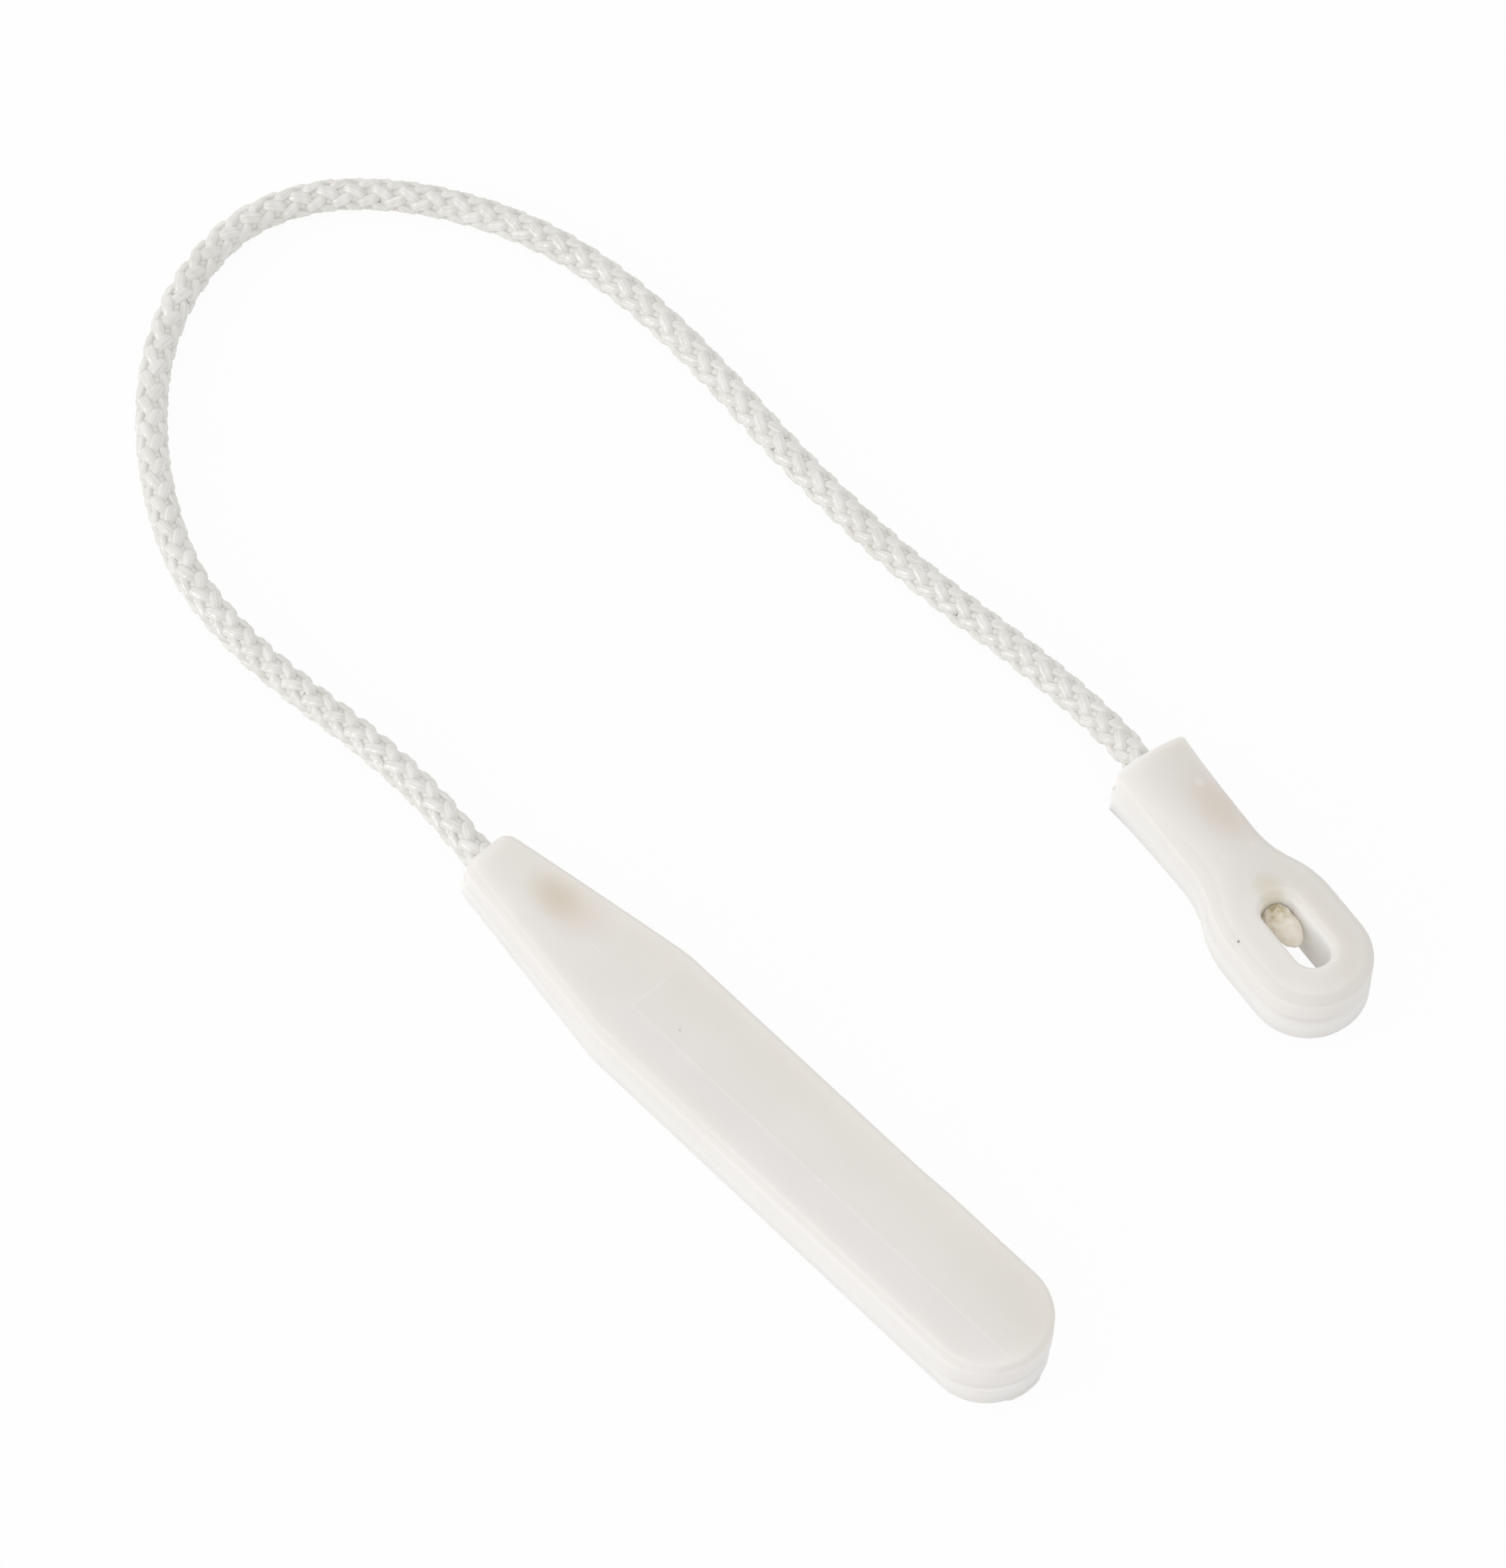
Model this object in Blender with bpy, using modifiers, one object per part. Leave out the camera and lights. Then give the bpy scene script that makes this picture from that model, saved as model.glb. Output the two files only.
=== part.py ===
"""Corded bar with eye: a moulded bar and a moulded eye lug on the two ends of a braided cord.

Metres, +Z up. The two mouldings lie flat on the surface z = 0, with the origin under the middle of
their common box. The bar runs along +X from its mouth, where the cord leaves it, to its round end.
"""

import bisect
import math

import bmesh
import bpy
from mathutils import Vector

# Bar
BAR_MOUTH_X = -0.04835  # the face that the cord leaves
BAR_AXIS_Y = -0.03311
BAR_LENGTH = 0.0967
BAR_WIDTH = 0.0166
BAR_MOUTH_WIDTH = 0.0087
BAR_TAPER_LENGTH = 0.0300  # from the mouth to the parallel body
BAR_SHOULDER_RADIUS = 0.0180  # where the taper runs into the body
BAR_END_RADIUS = 0.0073  # corners of the round end, seen from above
BAR_THICKNESS = 0.0084
BAR_EDGE_RADIUS = 0.0014

# Eye lug
EYE_MOUTH_X = -0.00275
EYE_MOUTH_Y = 0.03633
EYE_TURN = -9.1  # degrees about Z, from the bar's direction
EYE_SHANK_LENGTH = 0.0175  # from the mouth to the start of the swelling
EYE_SWELL_LENGTH = 0.0090  # from the shank to the full width of the head
EYE_HEAD_LENGTH = 0.0154  # from the full width to the round end
EYE_SHANK_WIDTH = 0.0103
EYE_HEAD_WIDTH = 0.0154
EYE_END_RADIUS = 0.0071
EYE_THICKNESS = 0.0094
EYE_EDGE_RADIUS = 0.0014
SLOT_WIDTH = 0.0056
SLOT_LENGTH = 0.0113
SLOT_END_WALL = 0.0049  # plastic between the slot and the head's round end

# Cord
CORD_DIAMETER = 0.0040
CORD_BENDS = 8
CORD_CLEARANCE = 0.0003  # between the cord and the plastic around it
JOIN_GAP = 0.0003  # between two lengths of cord that meet face to face
SURFACE_GAP = 0.00015  # between the lying cord and the surface
BEAD_DEPTH = 0.0120  # from the bar's mouth to the sealed bead
BEAD_LENGTH = 0.0042
BEAD_SWELL = 0.0006  # how far the bead stands out all round the cord
TAIL_LENGTH = 0.0052  # sealed tail standing in the eye's slot
TAIL_SHRINK = 0.0001  # how far the tail draws in all round when it is sealed

# Facets and cutters
ARC_STEPS = 10  # straight pieces in a quarter of a round corner
EDGE_STEPS = 3
ROUND_STEPS = 24
CORD_POINT_STEP = 2.4 * CORD_DIAMETER  # spacing of the cord's points
CORD_LEAD = CORD_DIAMETER / 4  # straight run that squares a cord's end off
CUT_MARGIN = 0.002  # how far a cutter stands out of what it cuts
WELD_DISTANCE = 0.000001

EYE_LENGTH = EYE_SHANK_LENGTH + EYE_SWELL_LENGTH + EYE_HEAD_LENGTH
SLOT_START = EYE_LENGTH - SLOT_END_WALL - SLOT_LENGTH  # from the eye's mouth
BAR_MOUTH = Vector((BAR_MOUTH_X, BAR_AXIS_Y, BAR_THICKNESS / 2))
EYE_MOUTH = Vector((EYE_MOUTH_X, EYE_MOUTH_Y, EYE_THICKNESS / 2))
EYE_DIRECTION = Vector((math.cos(math.radians(EYE_TURN)), math.sin(math.radians(EYE_TURN)), 0.0))
CORD_BORE_RADIUS = CORD_DIAMETER / 2 + CORD_CLEARANCE
BEAD_RADIUS = CORD_DIAMETER / 2 + BEAD_SWELL
TAIL_RADIUS = min(CORD_DIAMETER / 2 - TAIL_SHRINK, SLOT_WIDTH / 2 - CORD_CLEARANCE)
LYING = CORD_DIAMETER / 2 + SURFACE_GAP  # the cord's centre where it lies on the surface

# The cord's route from the bar's mouth to the eye's mouth, as it lies
CORD_ROUTE = [
    BAR_MOUTH,
    Vector((-0.0615, -0.0315, LYING + 0.00115)),
    Vector((-0.0725, -0.0314, LYING + 0.00035)),
    Vector((-0.0834, -0.0323, LYING)),
    Vector((-0.0942, -0.0327, LYING)),
    Vector((-0.1051, -0.0313, LYING)),
    Vector((-0.1157, -0.0268, LYING)),
    Vector((-0.1258, -0.0199, LYING)),
    Vector((-0.1345, -0.0109, LYING)),
    Vector((-0.1402, -0.0004, LYING)),
    Vector((-0.1421, 0.0105, LYING)),
    Vector((-0.1390, 0.0202, LYING)),
    Vector((-0.1322, 0.0280, LYING)),
    Vector((-0.1236, 0.0338, LYING)),
    Vector((-0.1138, 0.0378, LYING)),
    Vector((-0.1031, 0.0397, LYING)),
    Vector((-0.0920, 0.0399, LYING)),
    Vector((-0.0810, 0.0391, LYING)),
    Vector((-0.0697, 0.0379, LYING)),
    Vector((-0.0589, 0.0372, LYING)),
    Vector((-0.0480, 0.0370, LYING)),
    Vector((-0.0373, 0.0375, LYING)),
    Vector((-0.0267, 0.0383, LYING + 0.00015)),
    Vector((-0.0159, 0.0383, LYING + 0.00085)),
    Vector((-0.0071, 0.0374, LYING + 0.00195)),
    EYE_MOUTH,
]

for old in list(bpy.data.objects):
    bpy.data.objects.remove(old, do_unlink=True)


def new_collection(name):
    collection = bpy.data.collections.new(name)
    bpy.context.scene.collection.children.link(collection)
    return collection


PARTS = new_collection("corded_bar_with_eye")
CUTTERS = new_collection("cutters")


def make_material(name, colour, roughness):
    material = bpy.data.materials.new(name)
    material.use_nodes = True
    shader = material.node_tree.nodes["Principled BSDF"]
    shader.inputs["Base Color"].default_value = (*colour, 1.0)
    shader.inputs["Roughness"].default_value = roughness
    shader.inputs["Metallic"].default_value = 0.0
    return material


PLASTIC = make_material("milky_plastic", (0.78, 0.76, 0.72), 0.42)
BRAID = make_material("white_braid", (0.80, 0.79, 0.76), 0.45)
SEALED = make_material("sealed_cord", (0.55, 0.42, 0.20), 0.50)


def add_empty(name, location, parent=None):
    empty = bpy.data.objects.new(name, None)
    empty.parent = parent
    empty.location = location
    PARTS.objects.link(empty)
    return empty


def add_part(name, data, material, parent, location=(0.0, 0.0, 0.0), turn=0.0):
    part = bpy.data.objects.new(name, data)
    part.parent = parent
    part.location = location
    part.rotation_euler.z = math.radians(turn)
    data.materials.append(material)
    PARTS.objects.link(part)
    return part


def add_cutter(name, data, parent, location, turn=0.0):
    cutter = bpy.data.objects.new(name, data)
    cutter.parent = parent
    cutter.location = location
    cutter.rotation_euler.z = math.radians(turn)
    cutter.hide_render = True
    cutter.display_type = "WIRE"
    CUTTERS.objects.link(cutter)
    return cutter


def arc(centre, radius, start, end):
    """Points of a round corner, from one angle to another in degrees."""
    steps = max(2, round(ARC_STEPS * abs(end - start) / 90))
    turns = [math.radians(start + (end - start) * i / steps) for i in range(steps + 1)]
    return [(centre[0] + radius * math.cos(t), centre[1] + radius * math.sin(t)) for t in turns]


def mirrored(upper):
    """Closes an upper outline, given from the mouth to the far end, with its mirror image."""
    return [(x, -y) for x, y in upper] + upper[::-1]


def bar_outline():
    half_mouth = BAR_MOUTH_WIDTH / 2
    half = BAR_WIDTH / 2
    slope = math.atan2(half - half_mouth, BAR_TAPER_LENGTH)
    tangent = BAR_SHOULDER_RADIUS * math.tan(slope / 2)
    shoulder = (BAR_TAPER_LENGTH + tangent, half - BAR_SHOULDER_RADIUS)
    radius = min(BAR_END_RADIUS, half)
    corner = (BAR_LENGTH - radius, half - radius)
    upper = [(0.0, half_mouth)]
    upper += arc(shoulder, BAR_SHOULDER_RADIUS, 90 + math.degrees(slope), 90)
    upper += arc(corner, radius, 90, 0)
    return mirrored(upper)


def eye_outline(start):
    """The eye lug's outline, with its shank running from start to its round end."""
    shank = EYE_SHANK_WIDTH / 2
    head = EYE_HEAD_WIDTH / 2
    radius = min(EYE_END_RADIUS, head, EYE_HEAD_LENGTH)
    upper = [(start, shank)]
    for i in range(ARC_STEPS + 1):
        share = i / ARC_STEPS
        rise = share * share * (3 - 2 * share)
        upper.append((EYE_SHANK_LENGTH + share * EYE_SWELL_LENGTH, shank + rise * (head - shank)))
    upper += arc((EYE_LENGTH - radius, head - radius), radius, 90, 0)
    return mirrored(upper)


def slot_outline():
    half = SLOT_WIDTH / 2
    near = (SLOT_START + half, 0.0)
    far = (SLOT_START + SLOT_LENGTH - half, 0.0)
    return arc(near, half, 90, 270) + arc(far, half, -90, 90)


def plate(name, outline, thickness):
    """The mesh of a flat outline, with its thickness centred on the outline's plane."""
    curve = bpy.data.curves.new(name, "CURVE")
    curve.dimensions = "2D"
    curve.fill_mode = "BOTH"
    curve.extrude = thickness / 2
    spline = curve.splines.new("POLY")
    spline.points.add(len(outline) - 1)
    for point, (x, y) in zip(spline.points, outline):
        point.co = (x, y, 0.0, 1.0)
    spline.use_cyclic_u = True
    holder = bpy.data.objects.new(name, curve)
    CUTTERS.objects.link(holder)
    mesh = bpy.data.meshes.new_from_object(holder.evaluated_get(bpy.context.evaluated_depsgraph_get()))
    bpy.data.objects.remove(holder, do_unlink=True)
    shape = bmesh.new()
    shape.from_mesh(mesh)
    bmesh.ops.remove_doubles(shape, verts=shape.verts, dist=WELD_DISTANCE)
    bmesh.ops.dissolve_limit(shape, angle_limit=math.radians(0.5), verts=shape.verts, edges=shape.edges)
    bmesh.ops.recalc_face_normals(shape, faces=shape.faces)
    shape.to_mesh(mesh)
    shape.free()
    return mesh


def profile_mesh(name, profile):
    """A profile of (x, radius) points, for turning round X with a flat on the middle planes.

    It is listed from its far end, so that the turned faces point out.
    """
    mesh = bpy.data.meshes.new(name)
    across = math.cos(math.pi / ROUND_STEPS)
    up = math.sin(math.pi / ROUND_STEPS)
    points = [(x, radius * across, radius * up) for x, radius in reversed(profile)]
    mesh.from_pydata(points, [(i, i + 1) for i in range(len(points) - 1)], [])
    return mesh


def turn_profile(part):
    screw = part.modifiers.new("turned", "SCREW")
    screw.axis = "X"
    screw.steps = ROUND_STEPS
    screw.render_steps = ROUND_STEPS
    screw.use_merge_vertices = True
    screw.merge_threshold = WELD_DISTANCE
    screw.use_smooth_shade = True


def round_edges(part, radius):
    bevel = part.modifiers.new("rounded_edges", "BEVEL")
    bevel.width = radius
    bevel.segments = EDGE_STEPS
    bevel.limit_method = "ANGLE"
    bevel.angle_limit = math.radians(45)


def cut(part, cutter):
    boolean = part.modifiers.new("cut_" + cutter.name, "BOOLEAN")
    boolean.operation = "DIFFERENCE"
    boolean.object = cutter


def smooth_route(points, steps=24):
    """A dense smooth line through the route's points (centripetal Catmull-Rom)."""
    ends = [points[0] * 2 - points[1], *points, points[-1] * 2 - points[-2]]
    line = []
    for a, b, c, d in zip(ends, ends[1:], ends[2:], ends[3:]):
        t1 = (b - a).length ** 0.5
        t2 = t1 + (c - b).length ** 0.5
        t3 = t2 + (d - c).length ** 0.5
        for i in range(steps):
            t = t1 + (t2 - t1) * i / steps
            ab = a * ((t1 - t) / t1) + b * (t / t1)
            bc = b * ((t2 - t) / (t2 - t1)) + c * ((t - t1) / (t2 - t1))
            cd = c * ((t3 - t) / (t3 - t2)) + d * ((t - t2) / (t3 - t2))
            abc = ab * ((t2 - t) / t2) + bc * (t / t2)
            bcd = bc * ((t3 - t) / (t3 - t1)) + cd * ((t - t1) / (t3 - t1))
            line.append(abc * ((t2 - t) / (t2 - t1)) + bcd * ((t - t1) / (t2 - t1)))
    return line + [points[-1].copy()]


LINE = smooth_route(CORD_ROUTE)
DISTANCES = [0.0]
for before, after in zip(LINE, LINE[1:]):
    DISTANCES.append(DISTANCES[-1] + (after - before).length)
CORD_LENGTH = DISTANCES[-1]  # free length, from mouth to mouth


def at(distance):
    """The point on the cord's line at a distance from the bar's mouth."""
    i = min(max(bisect.bisect_right(DISTANCES, distance) - 1, 0), len(LINE) - 2)
    share = (distance - DISTANCES[i]) / (DISTANCES[i + 1] - DISTANCES[i])
    return LINE[i].lerp(LINE[i + 1], share)


def squared_end(distance, side):
    """Two points that square a cord's end off at a bend, from a short lead in to the end's face."""
    middle = at(distance)
    direction = (at(distance + CORD_LEAD) - at(distance - CORD_LEAD)).normalized() * side
    return [middle + direction * (JOIN_GAP / 2 + CORD_LEAD), middle + direction * JOIN_GAP / 2]


def between(start, end):
    """Evenly spaced points of the cord that lie inside a stretch of it."""
    count = max(2, round((end - start) / CORD_POINT_STEP))
    return [at(start + (end - start) * i / count) for i in range(1, count)]


def straight(start, end, steps=2):
    """Points of a straight run, with both its ends."""
    return [start.lerp(end, i / steps) for i in range(steps + 1)]


def tube(name, points, origin):
    curve = bpy.data.curves.new(name, "CURVE")
    curve.dimensions = "3D"
    curve.bevel_depth = CORD_DIAMETER / 2
    curve.bevel_resolution = 3
    curve.use_fill_caps = True
    spline = curve.splines.new("POLY")
    spline.points.add(len(points) - 1)
    for point, place in zip(spline.points, points):
        point.co = (*(place - origin), 1.0)
    return curve


# Bends of the cord, each an empty that carries everything after it
BENDS = [CORD_LENGTH * (i + 0.5) / CORD_BENDS for i in range(CORD_BENDS)]
base = add_empty("base", (0.0, 0.0, 0.0))
carriers = [base]
origins = [Vector((0.0, 0.0, 0.0))]
for i, distance in enumerate(BENDS):
    carriers.append(add_empty(f"bend_{i + 1}", at(distance) - origins[-1], carriers[-1]))
    origins.append(at(distance))
eye_carrier = carriers[-1]
eye_place = EYE_MOUTH - origins[-1]

# Bar, with the socket that the cord and its bead sit in
bar = add_part("bar", plate("bar", bar_outline(), BAR_THICKNESS), PLASTIC, base, BAR_MOUTH)
round_edges(bar, BAR_EDGE_RADIUS)
pocket_radius = BEAD_RADIUS + CORD_CLEARANCE
pocket_end = BEAD_DEPTH + BEAD_LENGTH + CORD_CLEARANCE
socket_profile = [
    (-CUT_MARGIN, 0.0),
    (-CUT_MARGIN, CORD_BORE_RADIUS),
    (BEAD_DEPTH - CORD_CLEARANCE, CORD_BORE_RADIUS),
    (BEAD_DEPTH, pocket_radius),
    (pocket_end - BEAD_LENGTH * 0.3, pocket_radius),
    (pocket_end, pocket_radius * 0.6),
    (pocket_end, 0.0),
]
socket = add_cutter("bar_socket", profile_mesh("bar_socket", socket_profile), base, BAR_MOUTH)
turn_profile(socket)
cut(bar, socket)

# Sealed bead on the cord's end, inside the bar
bead_profile = [
    (JOIN_GAP, 0.0),
    (JOIN_GAP, CORD_DIAMETER / 2),
    (BEAD_LENGTH * 0.3, BEAD_RADIUS),
    (BEAD_LENGTH * 0.7, BEAD_RADIUS),
    (BEAD_LENGTH, BEAD_RADIUS * 0.5),
    (BEAD_LENGTH, 0.0),
]
bead_place = BAR_MOUTH + Vector((BEAD_DEPTH, 0.0, 0.0))
bead = add_part("sealed_bead", profile_mesh("sealed_bead", bead_profile), SEALED, base, bead_place)
turn_profile(bead)

# Eye lug: its mouth is trimmed square, its slot goes through, and a bore leads from mouth to slot
shank_start = -EYE_EDGE_RADIUS - CUT_MARGIN
eye_mesh = plate("eye", eye_outline(shank_start), EYE_THICKNESS)
eye = add_part("eye", eye_mesh, PLASTIC, eye_carrier, eye_place, EYE_TURN)
round_edges(eye, EYE_EDGE_RADIUS)
trim_half = EYE_SHANK_WIDTH / 2 + CUT_MARGIN
trim_outline = [
    (shank_start - CUT_MARGIN, -trim_half),
    (0.0, -trim_half),
    (0.0, trim_half),
    (shank_start - CUT_MARGIN, trim_half),
]
through = EYE_THICKNESS + 2 * CUT_MARGIN
trim = add_cutter("eye_trim", plate("eye_trim", trim_outline, through), eye_carrier, eye_place, EYE_TURN)
cut(eye, trim)
slot = add_cutter("eye_slot", plate("eye_slot", slot_outline(), through), eye_carrier, eye_place, EYE_TURN)
cut(eye, slot)
bore_end = SLOT_START + SLOT_WIDTH / 2
bore_profile = [
    (-CUT_MARGIN, 0.0),
    (-CUT_MARGIN, CORD_BORE_RADIUS),
    (bore_end, CORD_BORE_RADIUS),
    (bore_end, 0.0),
]
bore = add_cutter("eye_bore", profile_mesh("eye_bore", bore_profile), eye_carrier, eye_place, EYE_TURN)
turn_profile(bore)
cut(eye, bore)

# Sealed tail of the cord, standing in the eye's slot
tail_profile = [
    (JOIN_GAP, 0.0),
    (JOIN_GAP, TAIL_RADIUS),
    (TAIL_LENGTH * 0.75, TAIL_RADIUS),
    (TAIL_LENGTH * 0.93, TAIL_RADIUS * 0.72),
    (TAIL_LENGTH, TAIL_RADIUS * 0.3),
    (TAIL_LENGTH, 0.0),
]
tail_place = eye_place + EYE_DIRECTION * SLOT_START
tail_mesh = profile_mesh("sealed_tail", tail_profile)
tail = add_part("sealed_tail", tail_mesh, SEALED, eye_carrier, tail_place, EYE_TURN)
turn_profile(tail)

# Cord, one tube between each two bends, with its ends inside the bar and the eye
ENDS = [0.0, *BENDS, CORD_LENGTH]
for i in range(CORD_BENDS + 1):
    points = between(ENDS[i], ENDS[i + 1])
    if i == 0:
        points = straight(BAR_MOUTH + Vector((BEAD_DEPTH, 0.0, 0.0)), BAR_MOUTH) + points
    else:
        points = squared_end(ENDS[i], 1)[::-1] + points
    if i == CORD_BENDS:
        points += straight(EYE_MOUTH, EYE_MOUTH + EYE_DIRECTION * SLOT_START)
    else:
        points += squared_end(ENDS[i + 1], -1)
    name = f"cord_{i + 1}"
    add_part(name, tube(name, points, origins[i]), BRAID, carriers[i])
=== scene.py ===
import bisect
import math

import bmesh
import bpy
from mathutils import Euler, Matrix, Vector, noise


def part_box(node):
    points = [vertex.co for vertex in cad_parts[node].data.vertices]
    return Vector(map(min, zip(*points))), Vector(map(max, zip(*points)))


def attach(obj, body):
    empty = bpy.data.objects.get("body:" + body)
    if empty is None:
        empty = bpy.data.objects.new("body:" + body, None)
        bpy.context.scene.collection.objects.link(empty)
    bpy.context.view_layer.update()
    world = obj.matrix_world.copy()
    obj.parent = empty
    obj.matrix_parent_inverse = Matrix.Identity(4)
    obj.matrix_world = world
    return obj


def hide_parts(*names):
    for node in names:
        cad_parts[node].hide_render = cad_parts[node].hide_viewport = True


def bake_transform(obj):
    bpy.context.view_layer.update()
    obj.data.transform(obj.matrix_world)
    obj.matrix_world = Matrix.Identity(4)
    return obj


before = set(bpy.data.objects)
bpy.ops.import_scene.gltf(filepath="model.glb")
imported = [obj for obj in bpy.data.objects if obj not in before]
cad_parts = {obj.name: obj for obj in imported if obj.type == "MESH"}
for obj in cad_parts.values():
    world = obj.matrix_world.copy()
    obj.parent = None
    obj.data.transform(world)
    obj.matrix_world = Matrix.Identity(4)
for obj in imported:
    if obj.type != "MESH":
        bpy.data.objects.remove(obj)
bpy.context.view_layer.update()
scene = bpy.context.scene
scene.view_settings.view_transform = "Standard"

mm = 0.001
tiny = 1e-4  # mm, within which two places in a moulding are the same
rimAngle = 0.5  # radians, past which an edge of a flat is its rim


# Camera, at the photograph's angle
cameraSet = {
    "target": Vector((-36.06, 1.08, 0.0)) * mm,
    "distance": 1.0,
    "heading": 43.97,  # degrees, the picture's right edge turned from +X
    "elevation": 58.0,
    "roll": 3.0,
    "lens": 183.67,
    "clip": (0.01, 10.0),
}


def cameraTurn():
    heading = Matrix.Rotation(math.radians(cameraSet["heading"]), 4, "Z")
    tilt = Matrix.Rotation(math.radians(90.0 - cameraSet["elevation"]), 4, "X")
    roll = Matrix.Rotation(math.radians(cameraSet["roll"]), 4, "Z")
    return heading @ tilt @ roll


def makeCamera():
    data = bpy.data.cameras.new("photoCamera")
    data.lens = cameraSet["lens"]
    data.clip_start, data.clip_end = cameraSet["clip"]
    camera = bpy.data.objects.new("photoCamera", data)
    turn = cameraTurn()
    place = cameraSet["target"] + turn.to_3x3() @ Vector((0.0, 0.0, cameraSet["distance"]))
    camera.matrix_world = Matrix.Translation(place) @ turn
    scene.collection.objects.link(camera)
    scene.camera = camera


makeCamera()
print("camera placed")


# Small tools for node trees
def tone(code):  # an sRGB code as a linear colour
    parts = [int(code[i : i + 2], 16) / 255 for i in (0, 2, 4)]
    linear = [p / 12.92 if p <= 0.04045 else ((p + 0.055) / 1.055) ** 2.4 for p in parts]
    return (*linear, 1.0)


def addNode(tree, kind, values=None, **settings):
    made = tree.nodes.new(kind)
    for key, value in settings.items():
        setattr(made, key, value)
    for key, value in (values or {}).items():
        if isinstance(value, bpy.types.NodeSocket):
            tree.links.new(value, made.inputs[key])
        else:
            made.inputs[key].default_value = value
    return made


def startMaterial(name):
    material = bpy.data.materials.new(name)
    material.use_nodes = True
    tree = material.node_tree
    return material, tree, tree.nodes["Principled BSDF"]


def sums(tree, operation, first, second=0.0):
    return addNode(tree, "ShaderNodeMath", {0: first, 1: second}, operation=operation).outputs[0]


def ramp(tree, value, low, high, fromValue=0.0, toValue=1.0):
    inputs = {"Value": value, "From Min": low, "From Max": high, "To Min": fromValue, "To Max": toValue}
    return addNode(tree, "ShaderNodeMapRange", inputs, interpolation_type="SMOOTHSTEP").outputs["Result"]


def blendColour(tree, share, first, second):
    mix = addNode(tree, "ShaderNodeMix", {"Factor": share}, data_type="RGBA")
    for socket, value in ((mix.inputs[6], first), (mix.inputs[7], second)):
        if isinstance(value, bpy.types.NodeSocket):
            tree.links.new(value, socket)
        else:
            socket.default_value = value
    return mix.outputs[2]


def grain(tree, place, scale, detail=2.0):
    inputs = {"Vector": place, "Scale": scale, "Detail": detail}
    return addNode(tree, "ShaderNodeTexNoise", inputs).outputs["Fac"]


def cloud(tree, place, centre, radii, strength, soft):  # full at the centre, none past the radii
    shift = addNode(tree, "ShaderNodeVectorMath", {0: place, 1: centre}, operation="SUBTRACT")
    scale = addNode(tree, "ShaderNodeVectorMath", {0: shift.outputs[0], 1: radii}, operation="DIVIDE")
    reach = addNode(tree, "ShaderNodeVectorMath", {0: scale.outputs[0]}, operation="LENGTH")
    return ramp(tree, reach.outputs["Value"], 1.0, 1.0 - soft, 0.0, strength)


def band(tree, value, low, high, soft):  # full between low and high
    rise = ramp(tree, value, low - soft, low)
    fall = ramp(tree, value, high + soft, high)
    return sums(tree, "MULTIPLY", rise, fall)


# Small tools for meshes; the mouldings are drawn in mm from their mouths
def newPiece(name, bm, material, sharpAngle=30.0):  # edges past the angle are drawn sharp
    for face in bm.faces:
        face.smooth = True
    for edge in bm.edges:
        edge.smooth = edge.calc_face_angle(0.0) < math.radians(sharpAngle)
    mesh = bpy.data.meshes.new(name)
    bm.to_mesh(mesh)
    bm.free()
    mesh.materials.append(material)
    piece = bpy.data.objects.new(name, mesh)
    scene.collection.objects.link(piece)
    return piece


def near(value, other):
    return abs(value - other) < tiny


def atLevel(item, level):  # whether an edge or a face lies flat at one height
    return all(near(vert.co.z, level) for vert in item.verts)


def atPlace(vert, place):
    return all(near(value, other) for value, other in zip(vert.co, place))


def outlineFace(bm, level, corners):  # a flat outline from corners of (x, y, rounding, segments)
    bm.faces.new([bm.verts.new((x, y, level)) for x, y, *rounding in corners])
    for x, y, reach, segments in corners:
        if reach > 0.0:
            corner = [vert for vert in bm.verts if atPlace(vert, (x, y, level))]
            bmesh.ops.bevel(
                bm, geom=corner, offset=reach, offset_type="OFFSET", segments=segments, profile=0.5,
                affect="VERTICES", material=-1, clamp_overlap=False,
            )


def liftFaces(bm, level, height):  # draws the flat faces at one height up into a closed block
    faces = [face for face in bm.faces if atLevel(face, level)]
    made = bmesh.ops.extrude_face_region(bm, geom=faces)["geom"]
    verts = [item for item in made if isinstance(item, bmesh.types.BMVert)]
    bmesh.ops.translate(bm, vec=(0.0, 0.0, height), verts=verts)


def openHalves(bm, low, high, top):  # a lower shell from 0 to low and an upper one from high to the top
    liftFaces(bm, high, top - high)
    liftFaces(bm, 0.0, low)
    inner = [face for face in bm.faces if atLevel(face, low) or atLevel(face, high)]
    bmesh.ops.delete(bm, geom=inner, context="FACES")
    return [edge for edge in bm.edges if edge.is_boundary]


def roundEdges(bm, edges, radius, segments):
    bmesh.ops.bevel(
        bm, geom=edges, offset=radius, offset_type="OFFSET", segments=segments, profile=0.5,
        affect="EDGES", material=-1, clamp_overlap=False,
    )


def rimEdges(bm, level):  # edges that border the flat at one height
    return [edge for edge in bm.edges if atLevel(edge, level) and edge.calc_face_angle(0.0) > rimAngle]


def flatParts(bm, level):  # all that lies flat at one height
    verts = [vert for vert in bm.verts if near(vert.co.z, level)]
    edges = [edge for edge in bm.edges if atLevel(edge, level)]
    return verts + edges + [face for face in bm.faces if atLevel(face, level)]


def cutLine(bm, geom, place, normal):  # scores a straight line of edges
    bmesh.ops.bisect_plane(bm, geom=geom, dist=tiny, plane_co=place, plane_no=normal)


def cutFlat(bm, level, xPlaces, yPlaces):  # lines along and across the flat at one height
    for x in xPlaces:
        cutLine(bm, flatParts(bm, level), (x, 0.0, level), (1.0, 0.0, 0.0))
    for y in yPlaces:
        cutLine(bm, flatParts(bm, level), (0.0, y, level), (0.0, 1.0, 0.0))


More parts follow.
